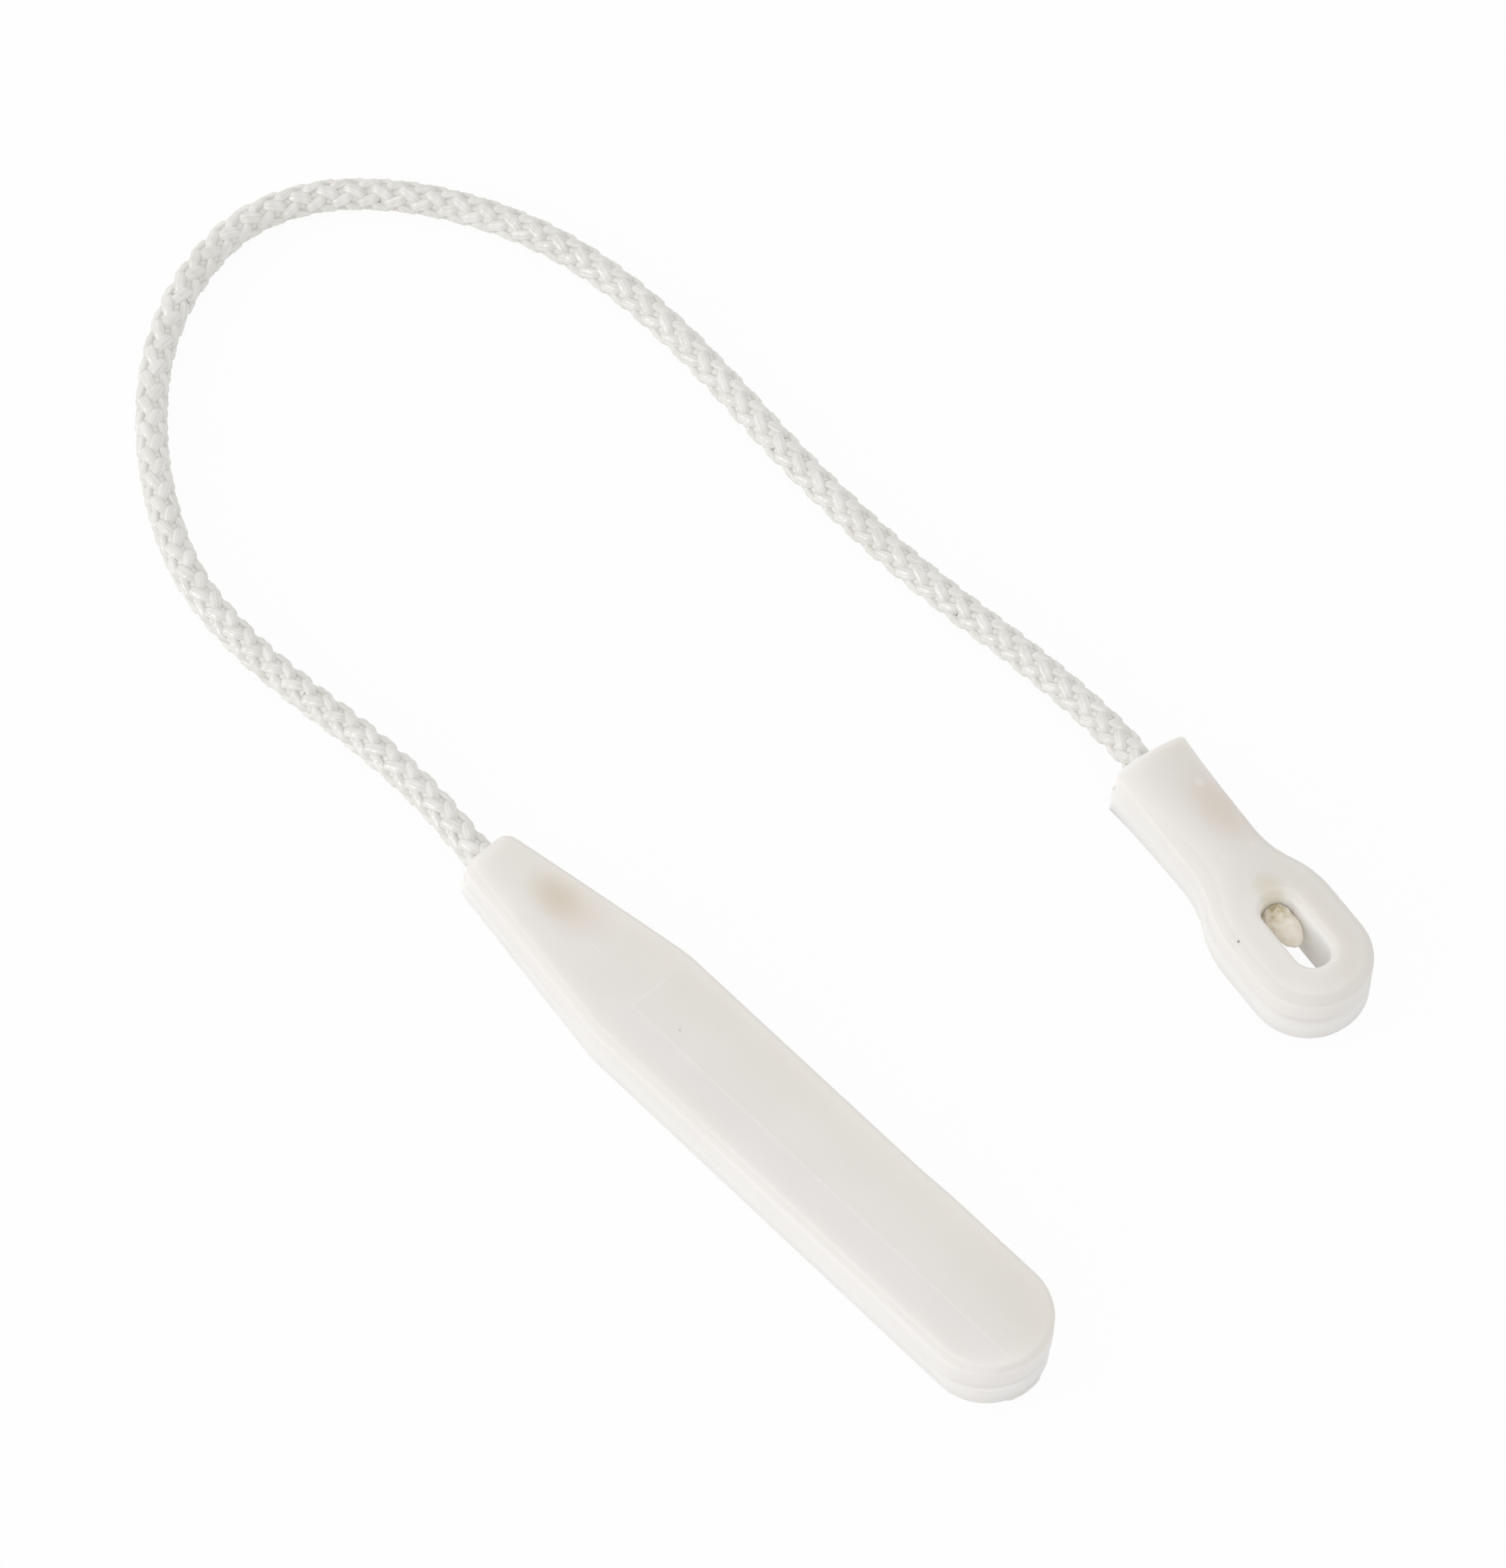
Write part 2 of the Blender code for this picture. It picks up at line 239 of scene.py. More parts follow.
def cutAcross(bm, xPlaces):  # rings of edges round the whole body
    for x in xPlaces:
        cutLine(bm, bm.verts[:] + bm.edges[:] + bm.faces[:], (x, 0.0, 0.0), (1.0, 0.0, 0.0))


# Braided cord
cordSet = {
    "diameter": 4.0 * mm,
    "bends": 8,
    "pitch": 3.75 * mm,  # from one float to the next along the cord
    "pull": 0.226,  # floats by which the braid runs ahead where it is stretched
    "pullEvery": 100.0 * mm,
    "pullFrom": 95.0 * mm,
    "carriers": 4,  # strands each way round
    "midRadius": 1.26 * mm,
    "wave": 0.27 * mm,  # how far a strand rises and dips
    "stay": 0.9,  # how long it stays up before it dips
    "lean": 0.4,  # radians round the cord that a float leans to each end
    "halfThick": 0.58 * mm,
    "halfSpread": 0.6,  # radians, half of a strand's width round the cord
    "squeeze": 0.12,  # share by which a strand is narrower on top than below
    "square": 0.9,  # a power that makes a strand's section fuller than an oval
    "coreRadius": 1.5 * mm,
    "ringPoints": 14,
    "ringsPerPitch": 20,
    "inside": 3.0 * mm,  # run of cord inside each mouth
    "roll": 0.35,
    "slack": 0.05,  # unevenness of the strands
    "slackEvery": 5.0 * mm,
    "slackShift": 7.3,  # keeps one strand's unevenness apart from the next one's
    "slackLevel": 0.5,
    "tuck": (0.72, 0.985),  # widths of the last two rings, drawn in under the next length
    "reach": 0.4 * mm,  # each way, over which the cord's direction is taken
    "pathSteps": 20,
    "sharp": 80.0,
    "fibreStretch": (6.0, 0.5, 3.7),  # across a strand, along it and from strand to strand
    "fibreDetail": 3.0,
    "fibreBand": (0.3, 0.7),
    "fibreTones": ("DEDBD5", "EFEEEA"),
    "patchScale": 160.0,
    "patchBand": (0.45, 0.75),
    "patchShare": 0.4,
    "patchTone": "DAD7CE",
    "roughBand": (0.2, 0.8),
    "rough": (0.24, 0.34),
    "bump": 0.2,
    "bumpDepth": 0.05 * mm,
    "ior": 1.5,
    "specular": 1.0,
}
lying = 2.15  # mm, height of the cord's middle on the floor
cordRoute = [
    Vector((x, y, z)) * mm
    for x, y, z in (
        (-48.35, -33.11, 4.2),
        (-61.5, -31.5, lying + 1.15),
        (-72.5, -31.4, lying + 0.35),
        (-83.4, -32.3, lying),
        (-94.2, -32.7, lying),
        (-105.1, -31.3, lying),
        (-115.7, -26.8, lying),
        (-125.8, -19.9, lying),
        (-134.5, -10.9, lying),
        (-140.2, -0.4, lying),
        (-142.1, 10.5, lying),
        (-139.0, 20.2, lying),
        (-132.2, 28.0, lying),
        (-123.6, 33.8, lying),
        (-113.8, 37.8, lying),
        (-103.1, 39.7, lying),
        (-92.0, 39.9, lying),
        (-81.0, 39.1, lying),
        (-69.7, 37.9, lying),
        (-58.9, 37.2, lying),
        (-48.0, 37.0, lying),
        (-37.3, 37.5, lying),
        (-26.7, 38.3, lying + 0.15),
        (-15.9, 38.3, lying + 0.85),
        (-7.1, 37.4, lying + 1.95),
        (-2.75, 36.33, 4.7),
    )
]


def smoothRoute(points, steps=24):  # centripetal Catmull-Rom through the points
    ends = [points[0] * 2 - points[1], *points, points[-1] * 2 - points[-2]]
    line = []
    for a, b, c, d in zip(ends, ends[1:], ends[2:], ends[3:]):
        t1 = (b - a).length ** 0.5
        t2 = t1 + (c - b).length ** 0.5
        t3 = t2 + (d - c).length ** 0.5
        for i in range(steps):
            t = t1 + (t2 - t1) * i / steps
            ab = a * ((t1 - t) / t1) + b * (t / t1)
            bc = b * ((t2 - t) / (t2 - t1)) + c * ((t - t1) / (t2 - t1))
            cd = c * ((t3 - t) / (t3 - t2)) + d * ((t - t2) / (t3 - t2))
            abc = ab * ((t2 - t) / t2) + bc * (t / t2)
            bcd = bc * ((t3 - t) / (t3 - t1)) + cd * ((t - t1) / (t3 - t1))
            line.append(abc * ((t2 - t) / (t2 - t1)) + bcd * ((t - t1) / (t2 - t1)))
    return line + [points[-1].copy()]


cordLine = smoothRoute(cordRoute)
cordRun = [0.0]
for before, after in zip(cordLine, cordLine[1:]):
    cordRun.append(cordRun[-1] + (after - before).length)
cordLength = cordRun[-1]


def cordAt(distance):
    i = min(max(bisect.bisect_right(cordRun, distance) - 1, 0), len(cordLine) - 2)
    share = (distance - cordRun[i]) / (cordRun[i + 1] - cordRun[i])
    return cordLine[i].lerp(cordLine[i + 1], share)


def cordFrame(distance):  # the cord's place and its two cross directions
    reach = cordSet["reach"]
    along = (cordAt(distance + reach) - cordAt(distance - reach)).normalized()
    side = Vector((0.0, 0.0, 1.0)).cross(along).normalized()
    return cordAt(distance), side, along.cross(side)


def floatCount(distance):  # how many floats lie before a place on the cord
    swing = math.sin(2 * math.pi * (distance - cordSet["pullFrom"]) / cordSet["pullEvery"])
    return distance / cordSet["pitch"] - cordSet["pull"] * swing


# A strand's radius, angle and half width at a place; odd strands turn the other way
def strandPlace(number, distance):
    hand = -1 if number % 2 else 1
    half = math.pi / cordSet["carriers"]
    count = floatCount(distance) + (0.5 if number % 2 else 0.0)
    along = 2 * (count - round(count))  # from -1 to 1 on each float
    rise = math.cos(math.pi * along) + cordSet["stay"] * math.sin(math.pi * along) ** 2
    lane = cordSet["lean"] * along + (half - cordSet["lean"]) * along**5
    spot = (distance / cordSet["slackEvery"], cordSet["slackShift"] * number, cordSet["slackLevel"])
    uneven = noise.noise(spot) * cordSet["slack"]
    radius = cordSet["midRadius"] + cordSet["wave"] * rise * (1 + uneven)
    angle = hand * (2 * half * round(count) + lane) + half * number
    spread = cordSet["halfSpread"] * (1 - cordSet["squeeze"] * rise)
    return radius, angle + cordSet["roll"] + uneven, spread


def fuller(part):
    return math.copysign(abs(part) ** cordSet["square"], part)


# Straight tubes for all strands and the core, which are then laid as a braid
def layStrands(bm, start, step, frames):
    across = bm.verts.layers.float.new("across")
    along = bm.verts.layers.float.new("along")
    strand = bm.verts.layers.float.new("strand")
    rings = len(frames)
    core = 2 * cordSet["carriers"]
    for number in range(core + 1):
        made = bmesh.ops.create_cone(
            bm, cap_ends=True, segments=cordSet["ringPoints"], radius1=1.0, radius2=1.0, depth=rings - 1.0
        )["verts"]
        for vert in made:
            vert[strand] = number
    lengthwise = [edge for edge in bm.edges if not near(edge.verts[0].co.z, edge.verts[1].co.z)]
    bmesh.ops.subdivide_edges(bm, edges=lengthwise, cuts=rings - 2, use_grid_fill=True)
    outer, inner = cordSet["tuck"]
    tuck = {0: outer, 1: inner, rings - 2: inner, rings - 1: outer}
    places = [[strandPlace(number, start + i * step) for i in range(rings)] for number in range(core)]
    for vert in bm.verts:
        number = round(vert[strand])
        i = round(vert.co.z + (rings - 1) / 2)
        place, side, up = frames[i]
        if number == core:
            vert.co = place + (side * vert.co.x + up * vert.co.y) * cordSet["coreRadius"]
            continue
        vert[across] = vert.co.y
        vert[along] = (start + i * step) / cordSet["pitch"]
        radius, angle, spread = places[number][i]
        shrink = tuck.get(i, 1.0)
        radius += fuller(vert.co.x) * cordSet["halfThick"] * shrink
        angle += fuller(vert.co.y) * spread * shrink
        vert.co = place + side * (radius * math.cos(angle)) + up * (radius * math.sin(angle))


def braidMaterial():
    material, tree, shader = startMaterial("whiteBraid")
    across = addNode(tree, "ShaderNodeAttribute", attribute_name="across").outputs["Fac"]
    along = addNode(tree, "ShaderNodeAttribute", attribute_name="along").outputs["Fac"]
    strand = addNode(tree, "ShaderNodeAttribute", attribute_name="strand").outputs["Fac"]
    place = addNode(tree, "ShaderNodeTexCoord").outputs["Object"]
    run = addNode(tree, "ShaderNodeCombineXYZ", {"X": across, "Y": along, "Z": strand}).outputs[0]
    inputs = {"Vector": run, "Scale": cordSet["fibreStretch"]}
    stretch = addNode(tree, "ShaderNodeMapping", inputs).outputs[0]
    fibre = grain(tree, stretch, 1.0, cordSet["fibreDetail"])
    patch = grain(tree, place, cordSet["patchScale"])
    tones = [tone(code) for code in cordSet["fibreTones"]]
    shade = blendColour(tree, ramp(tree, fibre, *cordSet["fibreBand"]), *tones)
    share = ramp(tree, patch, *cordSet["patchBand"], 0.0, cordSet["patchShare"])
    shade = blendColour(tree, share, shade, tone(cordSet["patchTone"]))
    tree.links.new(shade, shader.inputs["Base Color"])
    rough = ramp(tree, fibre, *cordSet["roughBand"], *cordSet["rough"])
    tree.links.new(rough, shader.inputs["Roughness"])
    inputs = {"Height": fibre, "Strength": cordSet["bump"], "Distance": cordSet["bumpDepth"]}
    tree.links.new(addNode(tree, "ShaderNodeBump", inputs).outputs[0], shader.inputs["Normal"])
    shader.inputs["IOR"].default_value = cordSet["ior"]
    shader.inputs["Specular IOR Level"].default_value = cordSet["specular"]
    return material


def makeCord():
    material = braidMaterial()
    last = cordSet["bends"] - 1
    piece = cordLength / cordSet["bends"]
    tucked = len(cordSet["tuck"])  # rings past each end
    steps = cordSet["pathSteps"]
    for i in range(cordSet["bends"]):
        start = i * piece - (cordSet["inside"] if i == 0 else 0.0)
        end = (i + 1) * piece + (cordSet["inside"] if i == last else 0.0)
        rings = round((end - start) / cordSet["pitch"] * cordSet["ringsPerPitch"])
        step = (end - start) / rings
        start -= tucked * step
        frames = [cordFrame(start + k * step) for k in range(rings + 2 * tucked + 1)]
        bm = bmesh.new()
        layStrands(bm, start, step, frames)
        braid = newPiece(f"braid_{i + 1}", bm, material, cordSet["sharp"])
        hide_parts(f"cord_{i + 1}", *(["cord_9"] if i == last else []))
        cordAt(i * piece)
        cordAt((i + 1) * piece)
        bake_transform(braid)
        path = [cordAt(piece * (i + k / steps)) for k in range(steps + 1)]
    print("cord braided:", round(cordLength / mm, 1), "mm in", cordSet["bends"], "lengths")


makeCord()


# Milky plastic that both mouldings share; its marks are placed in mm from a moulding's mouth
plasticSet = {
    "broadScale": 0.07,
    "fineScale": 0.9,
    "fineDetail": 4.0,
    "toneBand": (0.35, 0.65),
    "tones": ("EFECE9", "ECE9E5"),
    "fleckBand": (0.55, 0.8),
    "fleckShare": 0.25,
    "fleckTone": "F0EEEB",
    "wallLightFrom": 7.5,  # height below which the walls are painted paler: painted light from the floor below
    "wallLightTone": "F2F0EE",
    # painted shade: darker below this height, where the part meets the floor
    "footShadeFrom": 3.5,
    "footShadeTone": "E2E0DD",
    "roundShadeFacing": (0.4, 0.85, 0.12),  # upward share of a rounded edge's normal that gets the painted shade, and the softness
    "roundShadeShare": 0.5,
    "roundShadeTone": "DDDAD6",  # painted shade, as scattered light alone makes rounded edges too pale
    "roughBand": (0.3, 0.7),
    "rough": (0.5, 0.6),
    "swell": 8.0,  # height of the broad grain beside the fine one
    "bump": 0.12,
    "bumpDepth": 0.1 * mm,
    "ior": 1.5,
    "specular": 0.35,
    "scatter": (1.0, 0.97, 0.92),
    "scatterDepth": 2.0 * mm,
    "cloudSoft": 1.0,
    "markSoft": 0.5,
}


def placeFrom(tree, mouth, turn):  # Object coordinates in mm from a moulding's mouth
    objectPlace = addNode(tree, "ShaderNodeTexCoord").outputs["Object"]
    inputs = {"Vector": objectPlace, "Location": mouth, "Rotation": (0.0, 0.0, turn), "Scale": (mm, mm, mm)}
    return addNode(tree, "ShaderNodeMapping", inputs, vector_type="TEXTURE").outputs[0]


def addSurface(tree, shader, height, look):  # bump and scattering
    inputs = {"Height": height, "Strength": look["bump"], "Distance": look["bumpDepth"]}
    tree.links.new(addNode(tree, "ShaderNodeBump", inputs).outputs[0], shader.inputs["Normal"])
    shader.inputs["Subsurface Weight"].default_value = 1.0
    shader.inputs["Subsurface Radius"].default_value = look["scatter"]
    shader.inputs["Subsurface Scale"].default_value = look["scatterDepth"]


def milkyPlastic(name, mouth, turn):
    material, tree, shader = startMaterial(name)
    place = placeFrom(tree, mouth, turn)
    parts = addNode(tree, "ShaderNodeSeparateXYZ", {0: place}).outputs
    broad = grain(tree, place, plasticSet["broadScale"])
    fine = grain(tree, place, plasticSet["fineScale"], plasticSet["fineDetail"])
    tones = [tone(code) for code in plasticSet["tones"]]
    shade = blendColour(tree, ramp(tree, broad, *plasticSet["toneBand"]), *tones)
    fleck = ramp(tree, fine, *plasticSet["fleckBand"], 0.0, plasticSet["fleckShare"])
    shade = blendColour(tree, fleck, shade, tone(plasticSet["fleckTone"]))
    # painted light: the walls paler towards the floor, as if lit from below
    wallLight = ramp(tree, parts["Z"], plasticSet["wallLightFrom"], 0.0)
    shade = blendColour(tree, wallLight, shade, tone(plasticSet["wallLightTone"]))
    # painted shade along the foot, next to the floor
    footShade = ramp(tree, parts["Z"], plasticSet["footShadeFrom"], 0.0)
    shade = blendColour(tree, footShade, shade, tone(plasticSet["footShadeTone"]))
    # painted shade on rounded edges, picked by which way they face
    facing = addNode(tree, "ShaderNodeNewGeometry").outputs["Normal"]
    facing = addNode(tree, "ShaderNodeSeparateXYZ", {0: facing}).outputs["Z"]
    roundShade = band(tree, facing, *plasticSet["roundShadeFacing"])
    roundShade = sums(tree, "MULTIPLY", roundShade, plasticSet["roundShadeShare"])
    shade = blendColour(tree, roundShade, shade, tone(plasticSet["roundShadeTone"]))
    rough = ramp(tree, fine, *plasticSet["roughBand"], *plasticSet["rough"])
    tree.links.new(rough, shader.inputs["Roughness"])
    swell = sums(tree, "ADD", sums(tree, "MULTIPLY", broad, plasticSet["swell"]), fine)
    addSurface(tree, shader, swell, plasticSet)
    shader.inputs["IOR"].default_value = plasticSet["ior"]
    shader.inputs["Specular IOR Level"].default_value = plasticSet["specular"]
    return material, tree, shader, place, parts, shade


def addMarks(tree, place, shade, marks, soft):  # marks of (centre, radii, strength, tone)
    for centre, radii, strength, code in marks:
        shade = blendColour(tree, cloud(tree, place, centre, radii, strength, soft), shade, tone(code))
    return shade


# Bar
barLow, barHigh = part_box("bar")
barSet = {
    "length": (barHigh.x - barLow.x) / mm,
    "thickness": barHigh.z / mm,
    "halfMouth": 3.83,
    "half": 8.1,
    "taper": 28.1,
    "low": 4.15,  # heights between which the two mould halves meet
    "high": 4.3,
    "step": 0.04,  # of the lower half beside the upper one
    "mouthRound": (1.5, 9),  # radius and segments of a rounded corner
    "taperRound": (1.2, 6),
    "sideRound": (1.5, 4),
    "upperEnd": (8.15, 18),
    "lowerEnd": (7.5, 18),
    "upperBack": 0.2,  # by which the upper half's end lies behind the lower one's
    "lips": ((-0.6, 1.1, 9), (-0.4, 1.4, 9)),  # place and rounding of the lower half's mouth corners
    "lowerTurn": 0.8,  # by which the lower half's end lies to one side
    "turnFrom": 69.0,
    "turnTo": 84.0,
    "bulge": 0.2,  # by which one side stands out towards the end
    "bulgeFrom": 69.5,
    "bulgeTo": 73.5,
    "topEdge": 1.05,
    "bottomEdge": 1.5,
    "edgeSegments": 9,
    "sharp": 12.5,
    "crease": 0.1,  # width of the fine edge round the flat top
    "creaseRise": 0.03,
    "crown": 0.75,  # drop of the tapered part's sides at the mouth
    "crownPower": 2.5,
    "crownLines": (-5.5, -4.0, -3.0, -1.6, -0.8, 0.0, 0.8, 1.6, 2.4, 4.2, 5.5),
    "crownRings": (2.0, 4.0, 7.0, 10.5, 14.5, 19.0, 23.5),
    "insertLine": -2.3,  # edge of an insert in the mould, along the bar and across it
    "insertFrom": 29.1,
    "insertTo": 94.7,
    "insertSide": 3.4,
    "lineHalf": 0.1,
    "lineRise": 0.04,
    "nibFrom": -3.4,  # flash on the end's lower edge
    "nibTo": 1.6,
    "nibPast": 90.0,
    "nibBelow": 1.4,
    "nib": 0.25,
    "topShadeBand": (6.8, 8.0),  # heights over which the painted shade on the top comes in
    "sideBand": (-5.0, 4.0),  # across the top: painted shade, darker on the side away from the light
    "sideShadeShare": 0.6,
    "sideShadeTone": "EAE6DF",
    "endShadeBand": (70.0, 97.0),  # along it: painted shade, darker towards the round end on the side away from the light
    "endShadeShare": 0.5,
    "endShadeTone": "DAD6CE",
    "leftFrom": -7.0,  # the strip beside the insert
    "leftShare": 0.4,
    "leftTone": "EEE9E7",
    # painted highlight along the raised line round the insert
    "lineHighlightShare": 0.3,
    "lineHighlightTone": "F6F4F1",
    "toneSoft": 0.1,
    "clouds": (  # the sealed bead showing through
        ((13.5, 1.6, 8.0), (9.0, 5.5, 9.0), 0.5, "E4D9CE"),
        ((11.3, 1.4, 8.0), (5.5, 3.6, 9.0), 0.6, "D8CDBA"),
    ),
    "marks": (  # small marks in the plastic
        ((20.1, 0.0, 8.4), (1.8, 0.2, 2.0), 0.5, "F2EFEC"),
        ((35.5, -0.4, 8.4), (0.25, 0.2, 2.0), 0.7, "C9C3B8"),
    ),
}
barMouth = Vector((barLow.x, (barLow.y + barHigh.y) / 2, 0.0))


def barMaterial():
    material, tree, shader, place, parts, shade = milkyPlastic("barPlastic", barMouth, 0.0)
    line, start, half = barSet["insertLine"], barSet["insertFrom"], barSet["lineHalf"]
    soft = barSet["toneSoft"]
    # painted shade: the top darker on its side away from the light
    top = ramp(tree, parts["Z"], *barSet["topShadeBand"])
    side = ramp(tree, parts["Y"], *barSet["sideBand"], 0.0, barSet["sideShadeShare"])
    side = sums(tree, "MULTIPLY", side, top)
    shade = blendColour(tree, side, shade, tone(barSet["sideShadeTone"]))
    # painted shade at the round end, on the side away from the light
    end = ramp(tree, parts["X"], *barSet["endShadeBand"], 0.0, barSet["endShadeShare"])
    shade = blendColour(tree, sums(tree, "MULTIPLY", end, side), shade, tone(barSet["endShadeTone"]))
    along = band(tree, parts["X"], start, barSet["insertTo"], soft)
    left = sums(tree, "MULTIPLY", along, band(tree, parts["Y"], barSet["leftFrom"], line, soft))
    left = sums(tree, "MULTIPLY", left, barSet["leftShare"])
    shade = blendColour(tree, left, shade, tone(barSet["leftTone"]))
    # painted highlight: the raised line round the insert, as if it caught the light
    lineHighlight = sums(tree, "MULTIPLY", along, band(tree, parts["Y"], line - half, line + half, half))
    across = band(tree, parts["Y"], line, barSet["insertSide"], soft)
    across = sums(tree, "MULTIPLY", across, band(tree, parts["X"], start - half, start + half, half))
    lineHighlight = sums(tree, "MULTIPLY", sums(tree, "MAXIMUM", lineHighlight, across), barSet["lineHighlightShare"])
    shade = blendColour(tree, lineHighlight, shade, tone(barSet["lineHighlightTone"]))
    shade = addMarks(tree, place, shade, barSet["clouds"], plasticSet["cloudSoft"])
    shade = addMarks(tree, place, shade, barSet["marks"], plasticSet["markSoft"])
    tree.links.new(shade, shader.inputs["Base Color"])
    return material


def barOutlines():
    mouth, half, taper = barSet["halfMouth"], barSet["half"], barSet["taper"]
    step, end = barSet["step"], barSet["length"]
    mouthRound, taperRound, sideRound = barSet["mouthRound"], barSet["taperRound"], barSet["sideRound"]
    upperTo = end - barSet["upperBack"]
    bulged = half + barSet["bulge"]
    turned = half - barSet["lowerTurn"]
    (leftLip, *leftRound), (rightLip, *rightRound) = barSet["lips"]
    upper = [
        (0.0, step - mouth, *mouthRound),
        (taper, step - half, *taperRound),
        (upperTo, step - half, *barSet["upperEnd"]),
        (upperTo, bulged, *barSet["upperEnd"]),
        (barSet["bulgeTo"], bulged, *sideRound),
        (barSet["bulgeFrom"], half, *sideRound),
        (taper, half, *taperRound),
        (0.0, mouth, *mouthRound),
    ]
    lower = [
        (leftLip, -mouth, *leftRound),
        (taper, -half, *taperRound),
        (end, -half, *barSet["lowerEnd"]),
        (end, turned, *barSet["lowerEnd"]),
        (barSet["turnTo"], turned, *sideRound),
        (barSet["turnFrom"], half - step, *sideRound),
        (taper, half - step, *taperRound),
        (rightLip, mouth - step, *rightRound),
    ]
    return upper, lower


def makeBar():
    bm = bmesh.new()
    top = barSet["thickness"]
    upper, lower = barOutlines()
    outlineFace(bm, barSet["high"], upper)
    outlineFace(bm, 0.0, lower)
    bmesh.ops.bridge_loops(bm, edges=openHalves(bm, barSet["low"], barSet["high"], top))
    bmesh.ops.recalc_face_normals(bm, faces=bm.faces)
    roundEdges(bm, rimEdges(bm, top), barSet["topEdge"], barSet["edgeSegments"])
    roundEdges(bm, rimEdges(bm, 0.0), barSet["bottomEdge"], barSet["edgeSegments"])
    bmesh.ops.inset_region(
        bm, faces=[face for face in bm.faces if atLevel(face, top)], thickness=barSet["crease"],
        depth=barSet["creaseRise"], use_even_offset=True,
    )
    scoreInsert(bm, top + barSet["creaseRise"])
    crownTaper(bm, top + barSet["creaseRise"])
    for vert in bm.verts:
        atEnd = vert.co.x > barSet["nibPast"] and vert.co.z < barSet["nibBelow"]
        if atEnd and barSet["nibFrom"] < vert.co.y < barSet["nibTo"]:
            vert.co.x += barSet["nib"]
    bmesh.ops.transform(bm, matrix=Matrix.Translation(barMouth) @ Matrix.Scale(mm, 4), verts=bm.verts)
    bar = newPiece("bar_moulding", bm, barMaterial(), barSet["sharp"])
    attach(bar, "bar")
    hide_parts("bar")
    print("bar moulded")


def scoreInsert(bm, top):  # a fine raised line round the insert, along the bar and across it
    line, start, end = barSet["insertLine"], barSet["insertFrom"], barSet["insertTo"]
    half, side = barSet["lineHalf"], barSet["insertSide"]
    cutFlat(bm, top, (start - half, start, start + half, end), (line - half, line, line + half, side))
    for vert in bm.verts:
        along = near(vert.co.y, line) and start - tiny < vert.co.x < end + tiny
        across = near(vert.co.x, start) and line - tiny < vert.co.y < side + tiny
        if near(vert.co.z, top) and (along or across):
            vert.co.z += barSet["lineRise"]


def crownTaper(bm, top):  # the tapered part's top rounds off towards the mouth, and its fine edge fades
    low, taper = barSet["high"], barSet["taper"]
    cutFlat(bm, top, (), barSet["crownLines"])
    cutAcross(bm, barSet["crownRings"])
    for vert in bm.verts:
        share = min(max(vert.co.x / taper, 0.0), 1.0)
        half = barSet["halfMouth"] + (barSet["half"] - barSet["halfMouth"]) * share
        aside = min(1.0, abs(vert.co.y) / half)
        if near(vert.co.z, top):
            vert.co.z -= barSet["creaseRise"] * (1 - share)
        if vert.co.z > low:
            drop = barSet["crown"] * (1 - share) ** 2 * aside ** barSet["crownPower"]
            vert.co.z -= drop * (vert.co.z - low) / (top - low)


makeBar()


